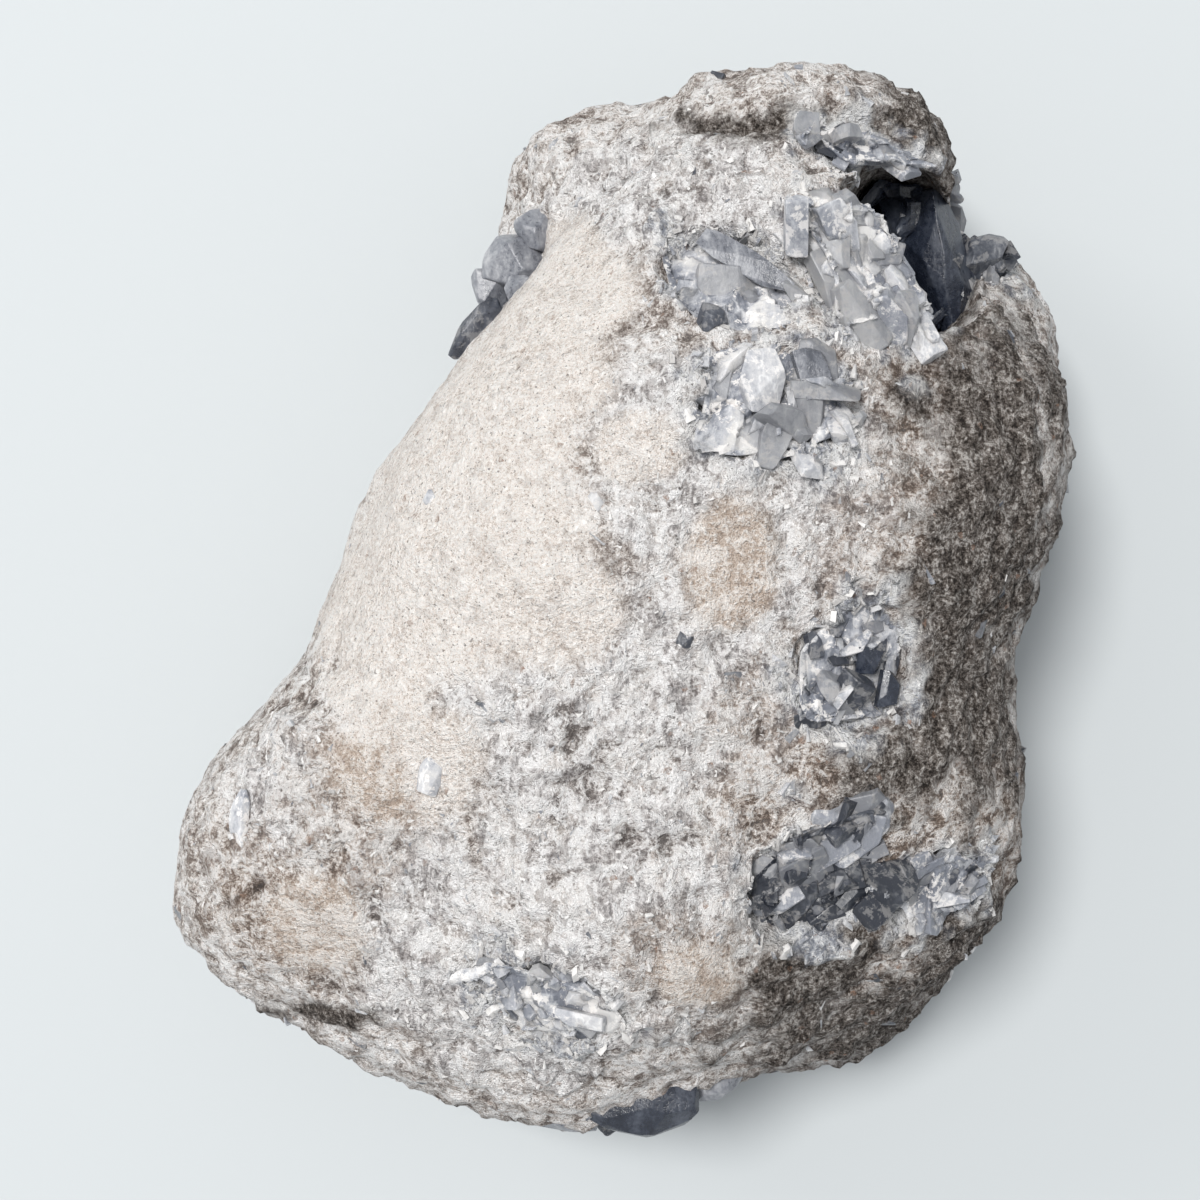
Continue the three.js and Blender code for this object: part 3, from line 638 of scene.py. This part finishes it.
def celestite(name, clearness, colours, roughness, tint, density, glow=0.0, cracked=0.45,
              chalk=0.0):
    # colours go from the deep to the frosted places, and glow, cracked and chalk are shares
    made = bpy.data.materials.new(name)
    made.use_nodes = True
    mix = Mixture(made.node_tree)
    body = made.node_tree.nodes["Principled BSDF"]
    frost = mix.node("ShaderNodeGroup", node_tree=veil_group)
    own_place = mix.node("ShaderNodeTexCoord").outputs["Object"]
    mix.feed(own_place, frost.inputs["Place"])
    shade = mix.node("ShaderNodeAttribute", attribute_name="shade").outputs["Fac"]
    depth = mix.sum("ADD", frost.outputs["Veil"], mix.spread(shade, 0, 1, -0.15, 0.15))
    tint_steps = mix.steps(depth, list(zip((0.38, 0.5, 0.62), colours)))
    white_line = mix.sum("MULTIPLY", frost.outputs["Crack"], cracked)
    colour = mix.blend(white_line, tint_steps, (0.9, 0.9, 0.9))
    gloss = mix.spread(frost.outputs["Veil"], 0.38, 0.66, roughness, roughness + 0.3)
    if chalk:
        crust = mix.spread(mix.cloudy(own_place, 380, 6, 0.76, 0.3), 0.53, 0.56, 0, chalk)
        colour = mix.blend(crust, colour, (0.76, 0.735, 0.715))
        gloss = mix.sum("MAXIMUM", gloss, crust)
    mix.feed(colour, body.inputs["Base Color"])
    mix.feed(gloss, body.inputs["Roughness"])
    body.inputs["IOR"].default_value = CELESTITE_IOR
    body.inputs["Transmission Weight"].default_value = clearness
    if glow:
        body.inputs["Subsurface Weight"].default_value = glow
        body.inputs["Subsurface Radius"].default_value = (1, 1, 1)
        body.inputs["Subsurface Scale"].default_value = GLOW_REACH * MM
    ripple = mix.node("ShaderNodeBump")
    ripple.inputs["Strength"].default_value = 0.5
    ripple.inputs["Distance"].default_value = RIPPLE_DEPTH * MM
    mix.feed(frost.outputs["Relief"], ripple.inputs["Height"])
    mix.feed(ripple.outputs["Normal"], body.inputs["Normal"])
    if density:
        absorb = mix.node("ShaderNodeVolumeAbsorption")
        absorb.inputs["Color"].default_value = (*tint, 1)
        absorb.inputs["Density"].default_value = density
        mix.feed(absorb.outputs["Volume"],
                 made.node_tree.nodes["Material Output"].inputs["Volume"])
    return made


clear_celestite = celestite(
    "clear_celestite", 0.6, [(0.36, 0.372, 0.41), (0.54, 0.55, 0.58), (0.68, 0.68, 0.69)],
    0.34, (0.7, 0.75, 0.84), 30, chalk=0.5)
milky_celestite = celestite(
    "milky_celestite", 0.05, [(0.21, 0.222, 0.255), (0.42, 0.428, 0.455), (0.60, 0.595, 0.60)],
    0.5, (0.6, 0.68, 0.8), 0, 0.6, chalk=0.6)
clouded_celestite = celestite(
    "clouded_celestite", 0.0, [(0.17, 0.182, 0.215), (0.42, 0.428, 0.455), (0.60, 0.59, 0.58)],
    0.62, (0.6, 0.68, 0.8), 0, 0.6, chalk=0.9)
smoky_celestite = celestite(
    "smoky_celestite", 0.5, [(0.04, 0.047, 0.066), (0.12, 0.132, 0.165), (0.36, 0.375, 0.41)],
    0.26, (0.30, 0.38, 0.55), 120, 0.0, 0.25, 0.35)
white_celestite = celestite(
    "white_celestite", 0.0, [(0.42, 0.405, 0.395), (0.60, 0.585, 0.57), (0.76, 0.745, 0.73)],
    0.5, (0.9, 0.9, 0.9), 0, 0.3)
# near-black celestite: dark crystals, and painted shade where crystals lie in the gap, in its
# throat and along the bottom edge
dark_and_shaded_celestite = celestite(
    "dark_and_shaded_celestite", 0.35, [(0.012, 0.016, 0.028), (0.03, 0.038, 0.06), (0.10, 0.115, 0.15)],
    0.16, (0.18, 0.25, 0.42), 160, 0.0, 0.0)
slate_celestite = celestite(
    "slate_celestite", 0.25, [(0.10, 0.108, 0.13), (0.23, 0.24, 0.272), (0.45, 0.46, 0.485)],
    0.2, (0.5, 0.6, 0.8), 0, 0.2, 0.2)
CELESTITE = [clear_celestite, milky_celestite, smoky_celestite, white_celestite]

# group, how bright its mass is (lower on the right side, the right rim, the top block and the
# bottom edge, partly as painted shade), how far it spills over the rim, lumps and their size
# in mm, blades and their length in mm, shares of clear, milky, smoky and white crystals
WINDOWS = [
    ("crystals_upper_window", 0.50, 1, 12, (3.0, 7.0), 0, (4, 7), (0.35, 0.65, 0, 0)),
    ("crystals_shoulder", 0.52, 0, 44, (2.6, 7.4), 0, (5, 9), (0.45, 0.55, 0, 0)),
    ("crystals_middle_window", 0.50, 1, 28, (2.2, 6.5), 0, (4, 8), (0.35, 0.6, 0.05, 0)),
    ("crystals_right_window", 0.32, 0.5, 34, (1.6, 4.6), 0, (3, 6), (0.35, 0.35, 0.3, 0)),
    ("crystals_lower_right_window", 0.01, 1, 50, (1.8, 7.0), 10, (3, 6), (0.25, 0.15, 0.6, 0)),
    ("crystals_right_foot", 0.15, 1, 40, (1.4, 4.2), 5, (2, 5), (0.3, 0.35, 0.35, 0)),
    ("crystals_bottom_window", 0.50, 1, 36, (1.4, 4.8), 0, (3, 8), (0.35, 0.55, 0.1, 0)),
    ("crystals_bottom_edge", 0.0, 0, 0, (2.5, 5.0), 0, (4, 7), (0.3, 0.1, 0.6, 0)),
    ("crystals_left_edge", 0.10, 0, 0, (2.5, 4.5), 0, (4, 8), (0.4, 0.4, 0.2, 0)),
    ("crystals_top_block", 0.18, 0, 44, (1.2, 3.6), 0, (3, 5), (0.4, 0.35, 0.25, 0)),
    ("crystals_block_end", 0.10, 0, 30, (1.6, 3.8), 0, (3, 6), (0.4, 0.35, 0.25, 0)),
    ("crystals_right_rim", 0.0, 0, 24, (2.4, 5.0), 0, (4, 6), (0.2, 0.05, 0.75, 0)),
]
CLEAVAGE = {  # plan direction in which a window's crystals lie
    "crystals_upper_window": (0.88, -0.48, 0), "crystals_shoulder": (0.6, -0.8, 0),
    "crystals_middle_window": (0.2, 1, 0), "crystals_lower_right_window": (0.8, 0.6, 0),
    "crystals_right_foot": (0.7, 0.7, 0), "crystals_bottom_window": (0.6, -0.8, 0),
    "crystals_top_block": (0.2, 1, 0), "crystals_right_window": (0.1, 1, 0),
}
GAP_EDGE = [(29.5, 59.5), (36.5, 52.8), (40.8, 48.0), (43.2, 38.0), (49, 39), (49, 50),
            (46.5, 60.5), (34, 61.2)]  # plan of the open gap beside the shoulder, in mm


def over_gap(x, y, margin):
    # true where a crystal at this place would close the gap seen from above
    inside = False
    near = False
    for (ax, ay), (bx, by) in zip(GAP_EDGE, GAP_EDGE[1:] + GAP_EDGE[:1]):
        if (ay > y) != (by > y) and x < ax + (y - ay) / (by - ay) * (bx - ax):
            inside = not inside
        run = np.array([bx - ax, by - ay])
        share = np.clip(((x - ax) * run[0] + (y - ay) * run[1]) / (run @ run), 0, 1)
        if math.hypot(x - ax - share * run[0], y - ay - share * run[1]) < margin:
            near = True
    return inside or near


def cut_back(mesh):
    # takes off what would close the gap from above and closes the cuts
    trimmed = bmesh.new()
    trimmed.from_mesh(mesh)
    over = [corner for corner in trimmed.verts if corner.co.z > CUT_HEIGHT * MM
            and over_gap(corner.co.x / MM, corner.co.y / MM, 0)]
    bmesh.ops.delete(trimmed, geom=over, context="VERTS")
    bmesh.ops.holes_fill(trimmed, edges=[e for e in trimmed.edges if e.is_boundary])
    trimmed.to_mesh(mesh)
    trimmed.free()


for order, (name, tone_and_shade, spill, lumps_in, spans, count, lengths, shares) in enumerate(WINDOWS):
    chance = np.random.default_rng(40 + order)
    mass = rock_copy(name, name + "_mass", 0, MASS_FACE)
    points, facing = surface_of(mass.data)
    centre = points.mean(axis=0)
    outward = centre - np.array(HEART)
    outward /= np.linalg.norm(outward)
    exposed = np.clip((facing @ outward + 0.15) * 2.2, 0, 1)
    spread = points - centre
    rising = (spread @ outward)[:, None] * outward
    lobes = spill * (0.12 + 0.55 * weathering(points, 9, 30 + order))
    points = centre + rising + (spread - rising) * (1 + np.clip(lobes, -0.15, 0.4))[:, None]
    slabs, slab_edges, slab_kinds = broken_faces(points * np.array([1, 1, 0.8]), 6.5, 20 + order)
    splits, _, split_kinds = broken_faces(points, 2.9, 60 + order)
    shell = weathering(points, 2.0, 80 + order)
    cracks = np.clip(0.07 - slab_edges, 0, 0.07) / 0.07 * np.clip(0.5 + 2 * shell, 0, 1)
    sunk = exposed * (0.9 - 1.3 * slabs - 0.35 * splits + 0.3 * shell + 1.0 * cracks)
    moved = points - facing * np.clip(sunk, *SINK_LIMITS)[:, None]
    low, high = np.array(cad_box[0]) / MM, np.array(cad_box[1]) / MM
    moved = np.clip(moved, low - 1.5, high + 1.0)
    moved[:, 2] = np.maximum(moved[:, 2], 0.3)
    put_back(mass.data, moved)
    mass.data.materials.clear()
    mass.data.materials.append(clouded_celestite if tone_and_shade > 0.02 else smoky_celestite)
    # painted shade: the mass is darker where its faces lie further back and in its cracks, on top
    # of its own tone and the window's painted shade
    mass_tone_and_shade = tone_and_shade + 0.42 * slab_kinds + 0.15 * split_kinds - 0.12 * np.clip(sunk, 0, 3)
    mass_tone_and_shade = mass_tone_and_shade - 0.5 * cracks + 0.9 * weathering(points, 5, 70 + order)
    write_values(mass.data, "shade", np.clip(mass_tone_and_shade, -0.3, 1.1))
    cut_back(mass.data)
    if not lumps_in:
        worn_mass = bmesh.new()
        worn_mass.from_mesh(mass.data)
        for _ in range(6):
            bmesh.ops.smooth_vert(worn_mass, verts=worn_mass.verts, factor=0.5,
                                  use_axis_x=True, use_axis_y=True, use_axis_z=True)
        worn_mass.to_mesh(mass.data)
        worn_mass.free()

    open_side = np.nonzero(facing @ outward > 0.35)[0]
    level = moved + facing * (np.clip(sunk, *SINK_LIMITS) - 0.9)[:, None]
    middles, ways, spans_in, minerals = [], [], [], []
    for index in chance.choice(open_side, lumps_in, replace=False):
        out = facing[index] + 0.2 * chance.normal(size=3)
        out /= np.linalg.norm(out)
        span = spans[0] + (spans[1] - spans[0]) * chance.uniform() ** 1.5
        x, y, z = level[index]
        if z > GAP_HEIGHT and over_gap(x, y, 0.45 * span):
            continue
        thick = span * chance.uniform(0.3, 0.5)
        depth = chance.uniform(-0.4, 0.4) - 0.72 * thick
        middles.append(level[index] + facing[index] * depth)
        ways.append(out)
        spans_in.append((span * chance.uniform(0.4, 0.9), span, thick))
        minerals.append(chance.choice(4, p=shares))
    run = np.array(CLEAVAGE[name]) if name in CLEAVAGE else None
    if middles:
        broken = grown_blades(name + "_lumps", middles, ways, spans_in, minerals, CELESTITE,
                              chance, LUMP_FORMS, run, tone_and_shade)
        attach(broken, "root")

    picked = [index for index in chance.choice(open_side, count, replace=False)
              if level[index][2] < GAP_HEIGHT or not over_gap(*level[index][:2], 3)]
    feet, axes, sizes, kinds = [], [], [], []
    for index in picked:
        out = facing[index]
        sideways = np.cross(out, chance.normal(size=3))
        sideways /= np.linalg.norm(sideways)
        rise = chance.uniform(0.0, 0.3)
        axis = sideways * (1 - rise) + out * rise
        axis /= np.linalg.norm(axis)
        length = chance.uniform(*lengths)
        width = length * chance.uniform(0.4, 0.7)
        thick = width * chance.uniform(0.4, 0.8)
        feet.append(level[index] - axis * 0.5 * length + out * (0.1 - 0.35 * thick))
        axes.append(axis)
        sizes.append((width, thick, length))
        kinds.append(chance.choice(4, p=shares))
    if feet:
        blades = grown_blades(name + "_blades", feet, axes, sizes, kinds, CELESTITE, chance,
                              tone_and_shade=tone_and_shade)
        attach(blades, "root")
    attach(mass, "root")
    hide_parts(name)


# The sparry skin: broken splinters and grains of white and grey celestite that stand out of
# the host between its sand and matrix, grown into it and half sunk in it.
def chip_form(sides, taper, seed):
    # one small splinter of length 1 with a slanting broken end
    chip = bmesh.new()
    bmesh.ops.create_cone(chip, cap_ends=True, segments=sides, radius1=0.5,
                          radius2=0.5 * taper, depth=1)
    bmesh.ops.translate(chip, verts=chip.verts, vec=(0, 0, 0.5))
    chance = np.random.default_rng(seed)
    slant = Vector((*chance.normal(size=2) * 0.7, 1)).normalized()
    break_off(chip, Vector((0, 0, 0.8)), slant)
    bmesh.ops.recalc_face_normals(chip, faces=chip.faces)
    return as_arrays(chip)


CHIP_FORMS = [chip_form(4, 0.7, 1), chip_form(3, 0.8, 2), chip_form(5, 0.6, 3),
              chip_form(4, 0.95, 4)]


def splinters(name, share, count, lengths, materials, odds, seed):
    # share says how likely each corner of the skin is to carry one, and lengths are in mm
    chance = np.random.default_rng(seed)
    places, outs = surface_of(host.data)
    weight = share * np.clip(outs[:, 2] + 0.5, 0, 1)
    picked = chance.choice(len(places), count, replace=False, p=weight / weight.sum())
    feet, axes, sizes, kinds = [], [], [], []
    for index in picked:
        out = outs[index]
        sideways = np.cross(out, chance.normal(size=3) + np.array([1.2, 0.3, 0]))
        sideways /= np.linalg.norm(sideways)
        axis = sideways + out * chance.uniform(-0.1, 0.45)
        axis /= np.linalg.norm(axis)
        length = lengths[0] + (lengths[1] - lengths[0]) * chance.uniform() ** 2
        width = length * chance.uniform(0.5, 0.9)
        thick = width * chance.uniform(0.5, 0.9)
        feet.append(places[index] - axis * 0.5 * length - out * 0.28 * thick)
        axes.append(axis)
        sizes.append((width, thick, length))
        kinds.append(chance.choice(len(materials), p=odds))
    piece = grown_blades(name, feet, axes, sizes, kinds, materials, chance, CHIP_FORMS)
    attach(piece, "root")


splinters("spar_splinters", (spar + 0.05 * plain) * (1 - matrix_and_shade), 3600, (0.45, 1.2),
          [white_celestite, milky_celestite], (0.9, 0.1), 7)
splinters("window_rim_chips", glassy * (1 - 0.7 * matrix_and_shade) + 0.0003 * (1 - sand), 2200,
          (0.6, 2.4), [white_celestite, milky_celestite, clear_celestite], (0.4, 0.4, 0.2), 8)
splinters("grey_inclusions", plain + spar + 0.6 * matrix_and_shade, 260, (1.0, 3.0),
          [milky_celestite, smoky_celestite], (0.6, 0.4), 9)


# The large single crystals: stout clear to smoke-grey ones that stand out of the edges and
# the gap, and flat broken ones that lie in the windows and in the skin. Grown in place.
def stout_crystal(half, cuts, seed):
    # a closed many-faced body about its own centre, its edges lightly worn
    body = bmesh.new()
    bmesh.ops.create_cube(body, size=1.9)
    chance = np.random.default_rng(seed)
    for _ in range(cuts):
        way = Vector(chance.normal(size=3)).normalized()
        break_off(body, way * chance.uniform(0.72, 0.95), way)
    bmesh.ops.remove_doubles(body, verts=body.verts, dist=0.06)
    bmesh.ops.recalc_face_normals(body, faces=body.faces)
    bmesh.ops.scale(body, verts=body.verts, vec=half)
    bmesh.ops.bevel(body, geom=body.edges[:], offset=0.07 * min(half), segments=2, profile=0.5,
                    affect="EDGES", clamp_overlap=True, material=-1)
    bmesh.ops.triangulate(body, faces=body.faces)
    return body


def place_crystals(name, crystals):
    # crystals: centre, half sizes, long direction, way out, cuts, seed, material
    mesh = bpy.data.meshes.new(name)
    whole = bmesh.new()
    mineral = []
    for centre, half, long_way, out, cuts, seed, material in crystals:
        if material not in mineral:
            mineral.append(material)
        one = stout_crystal(half, cuts, seed)
        third = Vector(out).normalized()
        second = (Vector(long_way) - third * Vector(long_way).dot(third)).normalized()
        first = second.cross(third)
        for corner in one.verts:
            corner.co = (Vector(centre) + first * corner.co.x + second * corner.co.y
                         + third * corner.co.z) * MM
        for face in one.faces:
            face.material_index = mineral.index(material)
        part = bpy.data.meshes.new("part")
        one.to_mesh(part)
        one.free()
        whole.from_mesh(part)
        bpy.data.meshes.remove(part)
    whole.to_mesh(mesh)
    whole.free()
    for material in mineral:
        mesh.materials.append(material)
    write_values(mesh, "shade", np.full(len(mesh.vertices), 0.5))
    piece = new_piece(name, mesh)
    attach(piece, "root")


place_crystals("left_edge_crystals", [
    ((-14.8, 51.6, 43), (5.0, 5.6, 5.5), (0.3, 1, 0), (-0.7, 0.1, 0.7), 30, 3, slate_celestite),
    ((-18.4, 47.8, 42), (2.6, 3.8, 4.0), (0.1, 1, 0.1), (-0.8, 0, 0.6), 24, 5, slate_celestite),
    ((-11.9, 56.0, 45), (3.4, 3.4, 3.6), (1, 0.2, 0), (-0.4, 0.3, 0.9), 24, 12, slate_celestite),
    ((-14.0, 46.6, 48), (2.6, 3.0, 3.0), (0.4, 1, 0), (-0.5, 0, 0.9), 22, 14, slate_celestite),
    ((-20.9, 41.6, 47), (1.5, 6.2, 3.0), (0.58, 0.8, 0.1), (-0.7, 0.5, 0.5), 34, 8,
     smoky_celestite),
])
# the large near-black crystal along the bottom edge is partly painted shade of the edge
place_crystals("bottom_edge_crystals", [
    ((3.6, -71.7, 56.6), (5.2, 9.2, 3.0), (1, 0.16, 0), (0, -0.6, 0.8), 46, 21, dark_and_shaded_celestite),
    ((-8.5, -73.0, 54.5), (2.8, 5.6, 2.0), (1, -0.1, 0), (0, -0.7, 0.7), 34, 24,
     slate_celestite),
    ((13.6, -68.6, 53.5), (2.8, 5.0, 2.2), (1, 0.45, 0), (0.2, -0.6, 0.8), 34, 27,
     slate_celestite),
])
# painted shade: the two deepest crystals in the gap are near-black
place_crystals("gap_crystals", [
    ((46.4, 50.5, 50), (4.9, 11.5, 5.4), (-0.3, 1, 0.35), (0.2, -0.2, 1), 12, 31,
     dark_and_shaded_celestite),
    ((41.0, 54.5, 45), (3.4, 6.0, 4.0), (0.1, 1, 0.3), (0.3, 0, 1), 8, 34, dark_and_shaded_celestite),
    ((52.4, 51.8, 48), (3.4, 4.0, 4.0), (0.2, 1, 0), (0.3, 0, 1), 20, 37, smoky_celestite),
    ((56.2, 48.4, 46), (2.4, 2.8, 3.0), (0.2, 1, 0), (0.3, 0, 1), 18, 39, smoky_celestite),
])
place_crystals("window_crystals", [
    ((16.2, 46.4, 76.2), (2.2, 7.8, 1.2), (0.88, -0.48, 0), (0, 0.1, 1), 22, 41, slate_celestite),
    ((11.8, 38.4, 80.2), (2.2, 2.2, 1.5), (1, 0, 0), (0, 0, 1), 20, 44, smoky_celestite),
    ((18.1, 29.6, 84.0), (3.0, 4.8, 1.4), (0.25, 1, 0), (-0.1, 0, 1), 12, 46, milky_celestite),
    ((25.0, 31.0, 82.9), (2.4, 3.6, 1.2), (-0.3, 1, 0), (0.1, 0, 1), 9, 49, slate_celestite),
    ((32.5, -6.5, 80.7), (1.9, 1.9, 1.0), (1, 0, 0), (0.2, 0, 1), 4, 52, dark_and_shaded_celestite),
    ((35.0, -10.4, 79.6), (1.3, 2.6, 0.9), (0.2, 1, 0), (0.3, 0, 1), 5, 55, dark_and_shaded_celestite),
    ((-25.4, -21.7, 78.2), (1.9, 2.7, 1.0), (0.4, 1, 0), (0, 0, 1), 14, 57,
     clouded_celestite),
    ((-52.5, -28.9, 66.9), (1.6, 4.4, 1.2), (0.05, 1, 0.1), (-0.5, 0, 1), 14, 59,
     clouded_celestite),
    ((-25.9, 14.9, 71.5), (1.6, 1.4, 0.8), (1, 0, 0), (-0.5, 0, 1), 14, 61,
     clouded_celestite),
    ((8.1, -3.8, 83.6), (1.3, 1.2, 0.8), (1, 0, 0), (0, 0, 1), 14, 63, smoky_celestite),
])

# The crust of the hollow: the lining of the nodule's inside, grey-blue celestite grown as one
# crust with blades that point to the middle; where it shows in the gap's throat it is
# near-black, painted shade of the gap.
hollow_celestite = celestite(
    "hollow_celestite", 0.15, [(0.12, 0.135, 0.175), (0.30, 0.325, 0.38), (0.62, 0.64, 0.68)],
    0.14, (0.5, 0.6, 0.8), 0, 0.25)
LINING_FACE = 0.8  # size of one face of the lining, in mm
DRUSE_BLADES = 900
lining = rock_copy("cavity_crust", "hollow_lining", 0, LINING_FACE)
points, facing = surface_of(lining.data)
splits, _, split_kinds = broken_faces(points, 3.4, 90)
sunk = np.clip(0.5 - 1.1 * splits, 0, 1.6)
moved = points - facing * sunk[:, None]
moved[:, 2] = np.maximum(moved[:, 2], 0.6)
put_back(lining.data, moved)
lining.data.materials.clear()
lining.data.materials.append(hollow_celestite)
lining.data.materials.append(dark_and_shaded_celestite)
# painted shade: the lining in the gap's throat takes the near-black celestite
shaded_throat = (points[:, 2] > 42) & (points[:, 0] > 22)
corner_of = np.empty(len(lining.data.loops), np.int32)
lining.data.loops.foreach_get("vertex_index", corner_of)
first_corner = np.empty(len(lining.data.polygons), np.int32)
lining.data.polygons.foreach_get("loop_start", first_corner)
lining.data.polygons.foreach_set(
    "material_index", shaded_throat[corner_of[first_corner]].astype(np.int32))
write_values(lining.data, "shade", np.clip(0.5 + 0.35 * split_kinds, 0, 1))

chance = np.random.default_rng(91)
to_heart = np.array(HEART) - moved
to_heart /= np.linalg.norm(to_heart, axis=1)[:, None]
inside = np.einsum("ij,ij->i", facing, to_heart) > 0.35
open_feet = np.nonzero(inside & (moved[:, 2] > 5) & ~shaded_throat)[0]
feet, axes, sizes, kinds = [], [], [], []
for index in chance.choice(open_feet, DRUSE_BLADES, replace=False):
    axis = facing[index] * 0.6 + to_heart[index] * 0.6 + 0.3 * chance.normal(size=3)
    axis /= np.linalg.norm(axis)
    length = chance.uniform(3.5, 9.5)
    if moved[index][2] + axis[2] * length < 2:
        continue
    width = length * chance.uniform(0.4, 0.65)
    feet.append(moved[index] - axis * 0.2 * length)
    axes.append(axis)
    sizes.append((width, width * chance.uniform(0.5, 0.85), length))
    kinds.append(chance.choice(3, p=(0.45, 0.3, 0.25)))
druse = grown_blades("hollow_druse", feet, axes, sizes, kinds,
                     [hollow_celestite, clear_celestite, smoky_celestite], chance)
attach(druse, "root")
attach(lining, "root")
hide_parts("cavity_crust")
